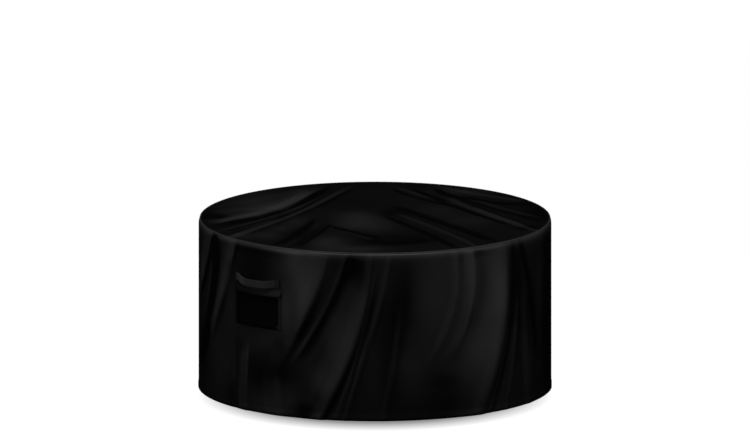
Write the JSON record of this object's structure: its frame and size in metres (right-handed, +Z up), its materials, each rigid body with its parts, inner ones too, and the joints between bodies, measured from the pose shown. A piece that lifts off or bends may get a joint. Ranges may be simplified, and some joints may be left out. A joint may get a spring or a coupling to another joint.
{
  "type": "round patio furniture cover",
  "caption": "Round fitted cloth cover for a patio table and chairs, with a corded rim, a folded skirt, a netted vent under a rain flap, and a webbing strap.",
  "frame": {"origin": "the middle of the underside of the cover's top, where the table holds it up", "axes": "+Z up; -Y is the cover's front, the side that faces the camera; +X is to the right seen from the front"},
  "size_m": [1.7995, 1.8233, 0.8891],
  "materials": {
    "coated_cloth": "black coated polyester, plain weave, satin",
    "binding_tape": "black ribbed tape, matt",
    "vent_net": "black open net, matt",
    "webbing": "black woven webbing, matt"
  },
  "bodies": {
    "root": {"top_panel": "coated_cloth", "rim_piping": "coated_cloth", "skirt": "coated_cloth", "vent_flap": "coated_cloth", "vent_binding": "binding_tape", "vent_net": "vent_net", "carrying_strap": "webbing"}
  },
  "joints": []
}
